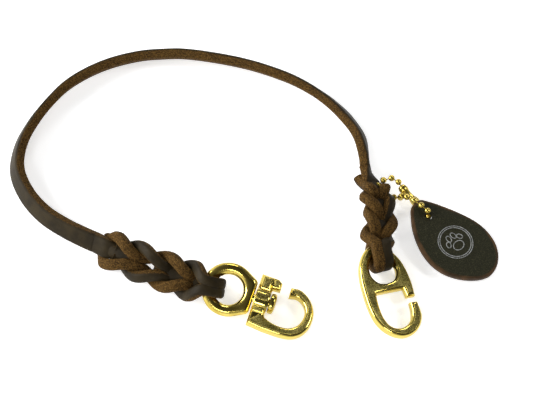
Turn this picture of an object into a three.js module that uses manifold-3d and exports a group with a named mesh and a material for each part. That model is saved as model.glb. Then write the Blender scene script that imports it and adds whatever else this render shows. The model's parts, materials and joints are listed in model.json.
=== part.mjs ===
// Short leather traffic lead: a strap spliced to a swivel hook at one end and to a fixed
// clip at the other, with a teardrop leather fob on a ball chain round one splice.
// Millimetres, +Z up. The lead lies on the plane z = 0 and the origin is under its middle.

import * as THREE from "three";
import { mergeVertices } from "three/addons/utils/BufferGeometryUtils.js";
import Module from "manifold-3d";

const wasm = await Module();
wasm.setup();

// Leather strip
const STRAP_WIDTH = 9.5;
const STRAP_THICK = 5;
const STRAP_ROUND = 1.3;
const STRAP_STEPS = 72;
const MESH_GAP = 0.3;

// Splice: each end is slit in two, folded through its fitting and passed through itself
const STRAND_WIDTH = 5.4;
const STRAND_THICK = 4.7;
const STRAND_ROUND = 1.3;
const LOOP_MID = 4.7; // sideways middle of a strand's loop
const LOOP_REACH = 2.5; // sideways half travel
const LOOP_LIFT = 2.45; // half travel through the braid
const CORE_WIDTH = 6; // leather pressed together in the middle of the braid
const CORE_THICK = 4;
const TAIL_TAB = 9; // unslit end of the tail, behind the strap
const TAIL_DROP = 4.9;
const LEAD_IN = 11; // strap that belongs to the splice solid, before the first slit
const PAST_BAR = 12; // axis drawn on past the fitting's bar, for the bight
const LOOP_SAMPLES = 6; // route points from one V of the braid to the next
const STRAND_STEP = 3.2;

// Where the Vs of each braid start, from the strap's end towards the fitting
const LEFT_VEES = [0, 12.9, 28, 41];
const RIGHT_VEES = [0, 6.5, 18, 28.5];

// Bight: the fold of leather round a fitting's bar
const BIGHT_RADIUS = 5.7;
const BIGHT_HALF = 2.05;
const RING_CLEARANCE = 3.25; // radius kept clear round each bar
const CLIP_CLEARANCE = 3.6;
const SPOOL_HALF = 7.6;
const FLOOR_GAP = 0.1; // leather pressed on the surface is flat this far above it
const LEFT_SLACK = 0.4; // the bight's turn lies this far past the bar
const RIGHT_SLACK = 2.5;

// Swivel eye, in its own axes: x to the hook, z out of the ring's plane
const EYE_RADIUS = 9.9;
const EYE_BAR = 2.85;
const EYE_END = 12.3;
const EYE_SHOULDER = 7.9;
const EYE_CENTRE = new THREE.Vector3(-9.9, -60.1, 7.9);
const PIN_HEADING = -17;
const PIN_PITCH = -6.9;
const EYE_ROLL = 24;
const RING_SAG = 0.065;
const BIGHT_TURN = 8; // where on the ring the leather sits, from straight behind the pin

// Swivel pin and hook
const PIN_RADIUS = 2;
const PIN_BORE = 2.3;
const PIN_START = 8.9;
const HEAD_RADIUS = 4.9;
const HEAD_THICK = 3.2;
const SPINE_START = 12.9;
const SPINE_DEPTH = 7;
const BARREL_HALF_WIDTH = 5.6;
const BARREL_HALF_HEIGHT = 5.1;
const PLATE_THICK = 5.4;
const PLATE_ROUND = 1;

// Fixed clip, in its own axes: origin in its crossbar, x to its hook end
const CLIP_CENTRE = new THREE.Vector3(65.2, -58.8, 5.95);
const CLIP_HEADING = -75;
const CLIP_PITCH = -5;
const CLIP_ROLL = 8;
const CLIP_BAR_X = -19.7;
const CLIP_BIGHT_Y = 1.4; // the leather sits to one side of the bar's middle
const CLIP_SAG = 0.125; // the eye's bar falls back by this much times its width squared

// Fob
const FOB_TIP = new THREE.Vector3(79.6, -11.2, 7);
const FOB_HEADING = -49;
const FOB_PITCH = -5.3;
const FOB_THICK = 3.6;
const FOB_ROUND = 0.8;
const FOB_HOLE_X = 11.5;
const FOB_HOLE_RADIUS = 2.15;

// Ball chain
const BEAD_RADIUS = 1.6;
const BEAD_INNER = 1.3;
const BEAD_MOUTH = 0.45;
const BEAD_PITCH = 4.35;
const LINK_NECK = 0.3;
const LINK_HEAD = 0.5;
const LINK_HEAD_THICK = 0.35;
const LINK_HEAD_AT = 0.55; // a link's end, from the middle of the bead that holds it
const CHAIN_AT = 0.02; // the chain's place on its strand, in Vs from the braid's start
const CHAIN_TURN = 4.45; // radius of the chain's turn round a strand
const CHANNEL_RADIUS = 2.1;
const CONNECTOR_OUTER = 2.25;
const CONNECTOR_WALL = 0.3;
const CONNECTOR_WAIST = 1.55;
const CONNECTOR_MOUTH = 1.2;
const CONNECTOR_SLOT = 0.5;
const CONNECTOR_SEAT = 4.35; // each captured bead, from the connector's middle

// Strap route, left splice to right splice: x, y, z and how far the grain face looks up
const STRAP_ROUTE = [
  [-75.0, -33.8, 5.8, 42],
  [-81.4, -30.6, 5.6, 38],
  [-89.5, -26.2, 5.5, 32],
  [-100.9, -18.3, 5.4, 30],
  [-110.9, -6.8, 5.4, 30],
  [-117.2, 7.3, 5.4, 30],
  [-116.9, 22.3, 5.4, 30],
  [-112.1, 36.2, 5.4, 30],
  [-105.3, 48.4, 5.4, 30],
  [-97.4, 59.0, 5.4, 30],
  [-87.8, 67.0, 5.4, 30],
  [-77.7, 72.8, 5.4, 30],
  [-67.4, 76.7, 5.4, 30],
  [-57.4, 79.1, 5.4, 30],
  [-47.8, 80.0, 5.4, 30],
  [-38.6, 80.3, 5.4, 30],
  [-29.8, 79.4, 5.4, 30],
  [-21.3, 77.9, 5.4, 30],
  [-12.9, 76.1, 5.4, 30],
  [-4.5, 73.9, 5.4, 30],
  [4.0, 71.1, 5.4, 30],
  [12.8, 67.5, 5.4, 30],
  [22.0, 63.0, 5.4, 30],
  [31.2, 56.9, 5.4, 30],
  [40.3, 49.2, 5.4, 32],
  [48.7, 39.4, 5.4, 34],
  [55.3, 27.6, 5.4, 28],
  [57.3, 14.2, 5.4, 8],
  [57.9, 7.3, 5.6, 14],
];

const UP = new THREE.Vector3(0, 0, 1);
const MIDDLE = new THREE.Vector3(-0.71, 0.38, FLOOR_GAP); // of the places above
const radians = THREE.MathUtils.degToRad;

const brass = new THREE.MeshStandardMaterial({ color: 0xc9a23e, roughness: 0.25, metalness: 1 });
const leather = new THREE.MeshStandardMaterial({ color: 0x3a2a20, roughness: 0.6, metalness: 0 });
const fobLeather = new THREE.MeshStandardMaterial({ color: 0x2b2d28, roughness: 0.55, metalness: 0 });

// A closed three.js geometry as a solid that can be joined and cut
function solid(geometry) {
  const bare = geometry.index ? geometry.toNonIndexed() : geometry.clone();
  bare.deleteAttribute("normal");
  bare.deleteAttribute("uv");
  const merged = mergeVertices(bare, 1e-4);
  return new wasm.Manifold(new wasm.Mesh({
    numProp: 3,
    vertProperties: new Float32Array(merged.attributes.position.array),
    triVerts: new Uint32Array(merged.index.array),
  }));
}

function geometryOf(body) {
  const mesh = body.getMesh();
  const geometry = new THREE.BufferGeometry();
  geometry.setAttribute("position", new THREE.BufferAttribute(mesh.vertProperties, 3));
  geometry.setIndex(new THREE.BufferAttribute(mesh.triVerts, 1));
  return geometry;
}

// A unit vector from its compass heading in the plane and its pitch above the plane
function direction(heading, pitch) {
  const level = Math.cos(radians(pitch));
  return new THREE.Vector3(
    level * Math.cos(radians(heading)),
    level * Math.sin(radians(heading)),
    Math.sin(radians(pitch)),
  );
}

// Axes with x along the given direction and z as near to the given normal as it can be
function axes(x, normal) {
  const z = normal.clone().addScaledVector(x, -normal.dot(x)).normalize();
  return { x, y: z.clone().cross(x), z };
}

function placement(origin, { x, y, z }) {
  return new THREE.Matrix4().makeBasis(x, y, z).setPosition(origin);
}

function placed(name, geometry, material, matrix = new THREE.Matrix4()) {
  const mesh = new THREE.Mesh(geometry, material);
  mesh.name = name;
  mesh.applyMatrix4(matrix);
  return mesh;
}

// Rectangle with cut corners, the section of a leather strip
function stripSection(width, thick, round) {
  const x = width / 2;
  const y = thick / 2;
  const shape = new THREE.Shape();
  shape.moveTo(x, -y + round);
  shape.lineTo(x, y - round);
  shape.lineTo(x - round, y);
  shape.lineTo(-x + round, y);
  shape.lineTo(-x, y - round);
  shape.lineTo(-x, -y + round);
  shape.lineTo(-x + round, -y);
  shape.lineTo(x - round, -y);
  shape.closePath();
  return shape;
}

// A curve whose section is kept square to a guide: the section's x lies along the guide
class GuidedPath extends THREE.CatmullRomCurve3 {
  constructor(points, guides) {
    super(points, false, "centripetal");
    this.guides = new THREE.CatmullRomCurve3(guides, false, "centripetal");
  }

  acrossAt(u) {
    const tangent = this.getTangentAt(u);
    const last = this.guides.points.length - 1;
    const spot = this.getUtoTmapping(u) * last;
    const low = Math.min(Math.floor(spot), last - 1);
    const guide = this.guides.points[low].clone().lerp(this.guides.points[low + 1], spot - low);
    return guide.addScaledVector(tangent, -guide.dot(tangent)).normalize();
  }

  computeFrenetFrames(steps) {
    const frames = { tangents: [], normals: [], binormals: [] };
    for (let i = 0; i <= steps; i += 1) {
      const tangent = this.getTangentAt(i / steps);
      const across = this.acrossAt(i / steps);
      frames.tangents.push(tangent);
      frames.normals.push(across);
      frames.binormals.push(tangent.clone().cross(across));
    }
    return frames;
  }
}

function sweep(section, path, steps) {
  return new THREE.ExtrudeGeometry(section, { steps, bevelEnabled: false, extrudePath: path });
}

// The grain face's normal where the strip runs along the given level direction
function grainNormal(along, lookUp, side) {
  const out = UP.clone().cross(along).normalize().multiplyScalar(side);
  return out.multiplyScalar(Math.cos(radians(lookUp))).addScaledVector(UP, Math.sin(radians(lookUp)));
}

function makeStrap() {
  const points = STRAP_ROUTE.map(([x, y, z]) => new THREE.Vector3(x, y, z));
  const route = new THREE.CatmullRomCurve3(points, false, "centripetal");
  const guides = STRAP_ROUTE.map(([, , , lookUp], i) => {
    const along = route.getTangent(i / (points.length - 1));
    return grainNormal(along, lookUp, 1).cross(along);
  });
  const path = new GuidedPath(points, guides);
  return sweep(stripSection(STRAP_WIDTH, STRAP_THICK, STRAP_ROUND), path, STRAP_STEPS);
}

// Turns distance along a splice, sideways and through it, into a place in space
class SpliceAxis {
  constructor(stations, bar, barAxes) {
    const points = stations.map(({ place }) => place);
    this.normals = stations.map(({ normal }) => normal);
    points.push(bar, bar.clone().addScaledVector(barAxes.x, PAST_BAR));
    this.normals.push(barAxes.z, barAxes.z);
    this.curve = new THREE.CatmullRomCurve3(points, false, "centripetal");
    this.total = this.curve.getLength();
    this.length = this.total - PAST_BAR - LEAD_IN;
  }

  place(s, across, through) {
    const u = THREE.MathUtils.clamp((s + LEAD_IN) / this.total, 0, 1);
    const tangent = this.curve.getTangentAt(u);
    const spot = this.curve.getUtoTmapping(u) * (this.normals.length - 1);
    const low = Math.min(Math.floor(spot), this.normals.length - 2);
    const normal = this.normals[low].clone().lerp(this.normals[low + 1], spot - low);
    const frame = axes(tangent, normal);
    const point = this.curve.getPointAt(u).addScaledVector(frame.y, across);
    return { point: point.addScaledVector(frame.z, through), across: frame.y };
  }
}

const mix = (a, b, share) => a + (b - a) * share;
const ease = (share) => (1 - Math.cos(Math.PI * share)) / 2;

// A strand in the braid, so many Vs along it: distance along, sideways place, place through it.
// The strand is at the side at a whole even count, and in the middle at an odd one.
function loopPoint(vees, count, lag) {
  const low = Math.min(Math.floor(count), vees.length - 2);
  const s = mix(vees[low], vees[low + 1], count - low);
  const turn = Math.PI * (count + lag);
  return [s, LOOP_MID + LOOP_REACH * Math.cos(turn), LOOP_LIFT * Math.sin(turn)];
}

// Half of the standing strap: up the braid, then over the front of the bar
function standingRoute(vees, barAt, slack) {
  const route = [];
  const last = vees.length - 1;
  for (let i = 0; i <= LOOP_SAMPLES * last; i += 1) {
    route.push(loopPoint(vees, i / LOOP_SAMPLES, 1));
  }
  for (let i = 1; i < LOOP_SAMPLES; i += 1) {
    const share = i / LOOP_SAMPLES;
    const across = mix(LOOP_MID + LOOP_REACH, BIGHT_HALF, ease(share));
    const through = BIGHT_RADIUS * Math.sin((share * Math.PI) / 2);
    route.push([mix(vees[last], barAt, share), across, through]);
  }
  for (let angle = 0; angle <= 100; angle += 20) {
    const turn = radians(angle);
    const past = slack + BIGHT_RADIUS * Math.sin(turn);
    route.push([barAt + past, BIGHT_HALF, BIGHT_RADIUS * Math.cos(turn)]);
  }
  return route;
}

// Half of the tail: round the back of the bar, up the braid and out behind the strap
function tailRoute(vees, barAt, slack) {
  const route = [];
  const last = vees.length - 1;
  for (let angle = 80; angle <= 180; angle += 20) {
    const turn = radians(angle);
    const past = slack + BIGHT_RADIUS * Math.sin(turn);
    route.push([barAt + past, BIGHT_HALF, BIGHT_RADIUS * Math.cos(turn)]);
  }
  for (let i = LOOP_SAMPLES - 1; i >= 1; i -= 1) {
    const share = i / LOOP_SAMPLES;
    const across = mix(LOOP_MID - LOOP_REACH, BIGHT_HALF, share);
    const through = -BIGHT_RADIUS * Math.sin((share * Math.PI) / 2);
    route.push([mix(vees[last], barAt, share), across, through]);
  }
  for (let i = LOOP_SAMPLES * last; i >= 0; i -= 1) {
    route.push(loopPoint(vees, i / LOOP_SAMPLES, 0));
  }
  for (let i = 1; i <= 4; i += 1) {
    const share = i / 4;
    const across = mix(LOOP_MID + LOOP_REACH, LOOP_MID - LOOP_REACH, ease(share));
    route.push([-TAIL_TAB * share, across, -TAIL_DROP * Math.sin((share * Math.PI) / 2)]);
  }
  return route;
}

function strand(axis, route, side) {
  const stops = route.map(([s, across, through]) => axis.place(s, side * across, through));
  const path = new GuidedPath(stops.map(({ point }) => point), stops.map(({ across }) => across));
  const steps = Math.round(path.getLength() / STRAND_STEP);
  return solid(sweep(stripSection(STRAND_WIDTH, STRAND_THICK, STRAND_ROUND), path, steps));
}

// Room for the bar to tip in the bight: a spool round the hinge axis, wider at its ends
function barSpool(bar, barAxes, clearance, sag) {
  const profile = [new THREE.Vector2(0, -SPOOL_HALF)];
  for (let i = -4; i <= 4; i += 1) {
    const along = (SPOOL_HALF * i) / 4;
    profile.push(new THREE.Vector2(clearance + sag * along ** 2, along));
  }
  profile.push(new THREE.Vector2(0, SPOOL_HALF));
  const spool = new THREE.LatheGeometry(profile, 24);
  spool.applyMatrix4(placement(bar, barAxes));
  return solid(spool);
}

// A strip down the middle of the splice, through the given distances along it
function middleStrip(axis, distances, section, steps) {
  const stops = distances.map((s) => axis.place(s, 0, 0));
  const path = new GuidedPath(stops.map(({ point }) => point), stops.map(({ across }) => across));
  return solid(sweep(section, path, steps));
}

// The largest piece of a body, with any sealed hollow between strands filled
function outerBody(body) {
  return body.decompose().reduce((best, piece) => (piece.volume() > best.volume() ? piece : best));
}

function spliceSolid(axis, vees, slack, spool) {
  const strap = stripSection(STRAP_WIDTH, STRAP_THICK, STRAP_ROUND);
  const core = stripSection(CORE_WIDTH, CORE_THICK, STRAP_ROUND);
  const middle = vees[vees.length - 1];
  let body = middleStrip(axis, [-LEAD_IN, -LEAD_IN / 2, 1.5], strap, 4);
  body = body.add(middleStrip(axis, [0, middle / 3, middle * 0.7, middle + 3], core, 8));
  for (const side of [1, -1]) {
    body = body.add(strand(axis, standingRoute(vees, axis.length, slack), side));
    body = body.add(strand(axis, tailRoute(vees, axis.length, slack), side));
  }
  const below = new THREE.BoxGeometry(400, 400, 20).translate(0, 0, FLOOR_GAP - 10);
  return outerBody(body.subtract(spool).subtract(solid(below)));
}

// Where a splice starts: just past the strap's end, going on in the same direction
function stationsFrom(places) {
  return places.map(([x, y, z, along, lookUp, side]) => ({
    place: new THREE.Vector3(x, y, z),
    normal: grainNormal(direction(along, 0), lookUp, side),
  }));
}

// Flat plate with rounded edges, its mid-plane on z = 0
function plate(shape, thick, round, curveSegments) {
  const geometry = new THREE.ExtrudeGeometry(shape, {
    depth: thick - 2 * round,
    bevelEnabled: true,
    bevelThickness: round,
    bevelSize: round,
    bevelOffset: -round,
    bevelSegments: 2,
    curveSegments,
  });
  return geometry.translate(0, 0, round - thick / 2);
}

const corners = (list) => list.map(([x, y]) => new THREE.Vector2(x, y));

function makeSwivelEye() {
  const ring = new THREE.TorusGeometry(EYE_RADIUS, EYE_BAR, 10, 36);
  const outer = EYE_RADIUS + EYE_BAR;
  const shoulderAngle = radians(62);
  const boss = new THREE.Shape();
  boss.moveTo(outer * Math.cos(shoulderAngle), -outer * Math.sin(shoulderAngle));
  boss.lineTo(EYE_END, -EYE_SHOULDER);
  boss.lineTo(EYE_END, EYE_SHOULDER);
  boss.lineTo(outer * Math.cos(shoulderAngle), outer * Math.sin(shoulderAngle));
  boss.absarc(0, 0, EYE_RADIUS - 1.6, shoulderAngle, -shoulderAngle, true);
  boss.closePath();
  const block = plate(boss, 2 * EYE_BAR + 0.3, 0.9, 10);
  const beyond = new THREE.BoxGeometry(4, 40, 20).translate(EYE_END + 2, 0, 0);
  const bore = new THREE.CylinderGeometry(PIN_BORE, PIN_BORE, 8, 20);
  bore.rotateZ(Math.PI / 2).translate(PIN_START - MESH_GAP + 4, 0, 0);
  return geometryOf(solid(ring).add(solid(block)).subtract(solid(beyond)).subtract(solid(bore)));
}

// Headed pin on the x axis: fast in the eye, the hook turns on it
function makeSwivelPin() {
  const headAt = SPINE_START + SPINE_DEPTH + MESH_GAP;
  const profile = corners([
    [0, PIN_START],
    [PIN_RADIUS, PIN_START],
    [PIN_RADIUS, headAt],
    [HEAD_RADIUS - 0.5, headAt],
    [HEAD_RADIUS, headAt + 0.6],
    [HEAD_RADIUS, headAt + HEAD_THICK - 1.2],
    [HEAD_RADIUS - 0.9, headAt + HEAD_THICK - 0.3],
    [0, headAt + HEAD_THICK],
  ]);
  return new THREE.LatheGeometry(profile, 24).rotateZ(-Math.PI / 2);
}

function hookOutline() {
  const back = SPINE_START;
  const inner = SPINE_START + SPINE_DEPTH;
  const shape = new THREE.Shape();
  shape.moveTo(back, -13.9);
  shape.lineTo(back + 8, -14.7);
  shape.splineThru(corners([
    [back + 16.7, -14.7],
    [back + 21.8, -13.8],
    [back + 25.8, -11.2],
    [back + 28.4, -6.9],
    [back + 29, -0.5],
    [back + 27.3, 4.6],
    [back + 23.5, 8.8],
    [back + 19, 10.8],
    [back + 14.9, 10.3],
  ]));
  shape.lineTo(back + 15.1, 5.4);
  shape.splineThru(corners([
    [back + 19.3, 6.1],
    [back + 22.7, 4],
    [back + 24.5, 0.6],
    [back + 24.2, -4],
    [back + 22.7, -7.1],
    [back + 19.5, -9.5],
    [back + 15.3, -10.1],
    [back + 11.3, -9.6],
    [inner + 0.6, -8.4],
  ]));
  shape.lineTo(inner, -7.8);
  shape.lineTo(inner, 6.8);
  shape.lineTo(back + 10.6, 7.2);
  shape.lineTo(back + 10.6, 10.6);
  shape.lineTo(back + 8.6, 12.4);
  shape.lineTo(back, 12.7);
  shape.closePath();
  return shape;
}

function makeHook() {
  const flat = plate(hookOutline(), PLATE_THICK, PLATE_ROUND, 2);
  const barrel = new THREE.CylinderGeometry(BARREL_HALF_WIDTH, BARREL_HALF_WIDTH, SPINE_DEPTH, 24);
  barrel.rotateZ(Math.PI / 2).scale(1, 1, BARREL_HALF_HEIGHT / BARREL_HALF_WIDTH);
  barrel.translate(SPINE_START + SPINE_DEPTH / 2, 0, 0);
  const bore = new THREE.CylinderGeometry(PIN_BORE, PIN_BORE, SPINE_DEPTH + 4, 20);
  bore.rotateZ(Math.PI / 2).translate(SPINE_START + SPINE_DEPTH / 2, 0, 0);
  return geometryOf(solid(flat).add(solid(barrel)).subtract(solid(bore)));
}

function fixedClipOutline() {
  const shape = new THREE.Shape();
  shape.moveTo(6.3, 11.5);
  shape.splineThru(corners([
    [0, 11.9],
    [-7, 11.4],
    [-12.8, 10],
    [-18, 7],
    [-21.3, 3.6],
    [-22.3, 0],
    [-21.5, -4],
    [-18.5, -7.6],
    [-13.2, -10.7],
    [-7, -12.2],
    [0, -12.7],
    [9, -12.5],
    [15.3, -11.1],
    [20.3, -8.2],
    [23.8, -3.8],
    [25, 0.6],
    [24, 5.4],
    [21, 9.2],
    [16.6, 11.5],
    [9.2, 11.6],
  ]));
  shape.lineTo(9.2, 7.6);
  shape.splineThru(corners([
    [13, 7.3],
    [17.4, 5.6],
    [20, 2.2],
    [20.3, -1.8],
    [18.4, -5],
    [14, -6.9],
    [8, -7.3],
    [3.2, -7],
  ]));
  shape.lineTo(2, -6.2);
  shape.lineTo(2, 6.4);
  shape.lineTo(3.2, 7.2);
  shape.lineTo(6.3, 7.2);
  shape.closePath();
  const eye = new THREE.Path();
  eye.moveTo(-2.2, 0);
  eye.splineThru(corners([
    [-3.2, 3.8],
    [-7, 6.3],
    [-12, 6],
    [-15.8, 3.4],
    [-17.2, 0],
    [-15.8, -3.4],
    [-12, -6],
    [-7, -6.3],
    [-3.2, -3.8],
    [-2.2, 0],
  ]));
  shape.holes.push(eye);
  return shape;
}

// Egg-shaped outline with its narrow end at the origin and x down its middle
function fobOutline() {
  const shape = new THREE.Shape();
  shape.moveTo(2, 0);
  shape.splineThru(corners([
    [3, -3.6],
    [5.6, -6.2],
    [10, -9.8],
    [15, -12.8],
    [20, -15],
    [25, -16.4],
    [31, -16.9],
    [37, -15.8],
    [42.2, -13.2],
    [46.5, -9.8],
    [49.8, -6],
    [51.9, -2.4],
    [52.9, 0.6],
  ]));
  shape.splineThru(corners([
    [52.7, 3.8],
    [51.2, 7.8],
    [47.7, 12],
    [43, 14.9],
    [37, 16.4],
    [31, 16.3],
    [25, 14.8],
    [20, 12.8],
    [15, 10.5],
    [10, 7.9],
    [5.6, 5.2],
    [3, 3.2],
    [2, 0],
  ]));
  return shape;
}

function makeFob() {
  const punch = new THREE.CylinderGeometry(FOB_HOLE_RADIUS, FOB_HOLE_RADIUS, 3 * FOB_THICK, 20);
  punch.rotateX(Math.PI / 2).translate(FOB_HOLE_X, 0, 0);
  return geometryOf(solid(plate(fobOutline(), FOB_THICK, FOB_ROUND, 2)).subtract(solid(punch)));
}

// Hollow ball with a mouth towards each link that it holds
function beadGeometry(middle, neighbours) {
  const shell = new THREE.SphereGeometry(BEAD_RADIUS, 9, 6);
  const hollow = new THREE.SphereGeometry(BEAD_INNER, 6, 4);
  const mouths = neighbours.map((neighbour) => {
    const along = neighbour.clone().sub(middle).normalize();
    const mouth = new THREE.CylinderGeometry(BEAD_MOUTH, BEAD_MOUTH, 1.5, 5).translate(0, 1.2, 0);
    return mouth.applyMatrix4(alongY(new THREE.Vector3(), along));
  });
  const ball = solid(shell).subtract(solid(hollow));
  return geometryOf(mouths.reduce((left, mouth) => left.subtract(solid(mouth)), ball));
}

// Dumbbell that joins two balls: a thin neck with a flat head inside each
function linkGeometry(apart) {
  const reach = apart / 2 - LINK_HEAD_AT;
  return new THREE.LatheGeometry(corners([
    [0, -reach],
    [LINK_HEAD, -reach],
    [LINK_HEAD, -reach + LINK_HEAD_THICK],
    [LINK_NECK, -reach + LINK_HEAD_THICK],
    [LINK_NECK, reach - LINK_HEAD_THICK],
    [LINK_HEAD, reach - LINK_HEAD_THICK],
    [LINK_HEAD, reach],
    [0, reach],
  ]), 5);
}

// Sleeve of bent sheet on the y axis, slit along one side, with a seat for a ball at each end
function connectorGeometry() {
  const inner = [
    [CONNECTOR_MOUTH, 6.1],
    [CONNECTOR_OUTER - 0.65, 5.7],
    [CONNECTOR_OUTER - CONNECTOR_WALL, CONNECTOR_SEAT],
    [CONNECTOR_OUTER - CONNECTOR_WALL, 3.6],
    [CONNECTOR_WAIST - CONNECTOR_WALL, 1.2],
  ];
  const outer = [
    [CONNECTOR_WAIST, 1.2],
    [CONNECTOR_OUTER, 3.4],
    [CONNECTOR_OUTER, CONNECTOR_SEAT + 0.1],
    [CONNECTOR_OUTER - 0.4, 5.9],
    [CONNECTOR_MOUTH, 6.45],
  ];
  const flip = ([radius, along]) => [radius, -along];
  const loop = [...outer, ...inner, ...inner.map(flip).reverse(), ...outer.map(flip).reverse()];
  loop.push(loop[0]);
  const sleeve = solid(new THREE.LatheGeometry(corners(loop), 16));
  const slot = new THREE.BoxGeometry(4, 20, CONNECTOR_SLOT).translate(2.3, 0, 0);
  return geometryOf(sleeve.subtract(solid(slot)));
}

// Turns the y axis along the given direction
function alongY(point, along) {
  const turn = new THREE.Quaternion().setFromUnitVectors(new THREE.Vector3(0, 1, 0), along);
  return new THREE.Matrix4().compose(point, turn, new THREE.Vector3(1, 1, 1));
}

// Beads at an even pitch along a curve, from its start to its end
function evenBeads(curve) {
  const count = Math.round(curve.getLength() / BEAD_PITCH);
  return curve.getSpacedPoints(count);
}

const lead = new THREE.Group();

// Swivel end: the eye, its pin and the hook
const pinAxis = direction(PIN_HEADING, PIN_PITCH);
const levelEye = axes(pinAxis, UP);
const eyeNormal = levelEye.z.clone().applyAxisAngle(pinAxis, radians(EYE_ROLL));
const eyePlace = placement(EYE_CENTRE, axes(pinAxis, eyeNormal));
const hookPlace = placement(EYE_CENTRE, levelEye);
const toEye = pinAxis.clone().applyAxisAngle(eyeNormal, radians(BIGHT_TURN));
const leftBar = EYE_CENTRE.clone().addScaledVector(toEye, -EYE_RADIUS);

const leftBarAxes = axes(toEye, eyeNormal);
const leftSpool = barSpool(leftBar, leftBarAxes, RING_CLEARANCE, RING_SAG);
const leftAxis = new SpliceAxis(stationsFrom([
  [-74.3, -34.1, 5.85, -26, 42, -1],
  [-64.7, -39.9, 7.4, -22, 56, -1],
  [-39.5, -51.2, 8.4, -20, 64, -1],
]), leftBar, leftBarAxes);

// Fixed end
const clipAlong = direction(CLIP_HEADING, CLIP_PITCH);
const clipAxes = axes(clipAlong, UP.clone().applyAxisAngle(clipAlong, -radians(CLIP_ROLL)));
const clipPlace = placement(CLIP_CENTRE, clipAxes);
const rightBar = CLIP_CENTRE.clone().addScaledVector(clipAxes.x, CLIP_BAR_X);
const rightSpool = barSpool(rightBar, clipAxes, CLIP_CLEARANCE, CLIP_SAG);
const rightBight = rightBar.clone().addScaledVector(clipAxes.y, CLIP_BIGHT_Y);
const rightAxis = new SpliceAxis(stationsFrom([
  [58.1, 5.9, 5.6, -76, 15, 1],
  [61.4, -6.2, 8.4, -76, 70, 1],
  [63.8, -21, 8.2, -90, 64, 1],
]), rightBight, clipAxes);

lead.add(placed("strap", makeStrap(), leather));
const leftSolid = spliceSolid(leftAxis, LEFT_VEES, LEFT_SLACK, leftSpool);
lead.add(placed("left_splice", geometryOf(leftSolid), leather));
lead.add(placed("swivel_eye", makeSwivelEye(), brass, eyePlace));
lead.add(placed("swivel_pin", makeSwivelPin(), brass, eyePlace));
lead.add(placed("hook", makeHook(), brass, hookPlace));
lead.add(placed("fixed_clip", plate(fixedClipOutline(), PLATE_THICK, PLATE_ROUND, 2), brass, clipPlace));

// Chain: round the right-hand strand of the first V of the right splice
const strandCentre = rightAxis.place(...loopPoint(RIGHT_VEES, CHAIN_AT, 0)).point;
const strandNext = rightAxis.place(...loopPoint(RIGHT_VEES, CHAIN_AT + 0.05, 0)).point;
const strandAlong = strandNext.sub(strandCentre).normalize();
const turnAxes = axes(strandAlong, UP);
const turnPoint = (angle) => strandCentre.clone()
  .addScaledVector(turnAxes.y, CHAIN_TURN * Math.cos(radians(angle)))
  .addScaledVector(turnAxes.z, CHAIN_TURN * Math.sin(radians(angle)));

const channel = new THREE.TorusGeometry(CHAIN_TURN, CHANNEL_RADIUS, 10, 28);
channel.applyMatrix4(placement(strandCentre, { x: turnAxes.y, y: turnAxes.z, z: turnAxes.x }));
const rightSolid = spliceSolid(rightAxis, RIGHT_VEES, RIGHT_SLACK, rightSpool);
const rightCut = outerBody(rightSolid.subtract(solid(channel)));
lead.add(placed("right_splice", geometryOf(rightCut), leather));

// Fob
const fobAxes = axes(direction(FOB_HEADING, FOB_PITCH), UP);
const fobPlace = placement(FOB_TIP, fobAxes);
lead.add(placed("fob", makeFob(), fobLeather, fobPlace));

const hole = FOB_TIP.clone().addScaledVector(fobAxes.x, FOB_HOLE_X);
const fobSpot = (x, y, z) => new THREE.Vector3(x, y, z).applyMatrix4(fobPlace);

// Connector between the chain's two ends, from the upper run down to the fob
const seatHigh = new THREE.Vector3(75.6, -4.6, 7);
const seatLow = new THREE.Vector3(82, -9.8, 2.9);
const connectorAlong = seatLow.clone().sub(seatHigh).normalize();
const connectorMiddle = seatHigh.clone().add(seatLow).multiplyScalar(0.5);
seatHigh.copy(connectorMiddle).addScaledVector(connectorAlong, -CONNECTOR_SEAT);
seatLow.copy(connectorMiddle).addScaledVector(connectorAlong, CONNECTOR_SEAT);

const upperRun = new THREE.CatmullRomCurve3([
  hole,
  fobSpot(FOB_HOLE_X - 1.6, 0.1, 3.9),
  fobSpot(FOB_HOLE_X - 6, -0.4, 4.2),
  fobSpot(FOB_HOLE_X - 11.5, -2, 4.6),
  fobSpot(FOB_HOLE_X - 15.6, -2.6, 1.6),
  new THREE.Vector3(73.9, -7.3, 2.6),
  ...[-110, -135, -165, 165, 135, 105, 80].map(turnPoint),
  new THREE.Vector3(71.6, 0, 9.2),
  seatHigh,
], false, "centripetal");
const underRun = new THREE.CatmullRomCurve3([
  hole,
  fobSpot(FOB_HOLE_X - 1.8, 0.4, -3.8),
  fobSpot(FOB_HOLE_X - 6.8, 2.4, -4.1),
  seatLow,
], false, "centripetal");

const beads = [...evenBeads(underRun).reverse(), ...evenBeads(upperRun).slice(1)];
const two = (number) => String(number).padStart(2, "0");
beads.forEach((bead, i) => {
  const neighbours = [beads[i - 1], beads[i + 1]].filter((neighbour) => neighbour);
  const place = new THREE.Matrix4().setPosition(bead);
  lead.add(placed(`bead_${two(i + 1)}`, beadGeometry(bead, neighbours), brass, place));
});
beads.slice(1).forEach((bead, i) => {
  const middle = bead.clone().add(beads[i]).multiplyScalar(0.5);
  const along = bead.clone().sub(beads[i]).normalize();
  const link = linkGeometry(bead.distanceTo(beads[i]));
  lead.add(placed(`link_${two(i + 1)}`, link, brass, alongY(middle, along)));
});
lead.add(placed("chain_connector", connectorGeometry(), brass, alongY(connectorMiddle, connectorAlong)));

// The origin goes under the middle of the lead
lead.children.forEach((mesh) => mesh.position.sub(MIDDLE));

export default lead;
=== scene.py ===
import json
import math

import bpy
from mathutils import Matrix, Vector


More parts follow.
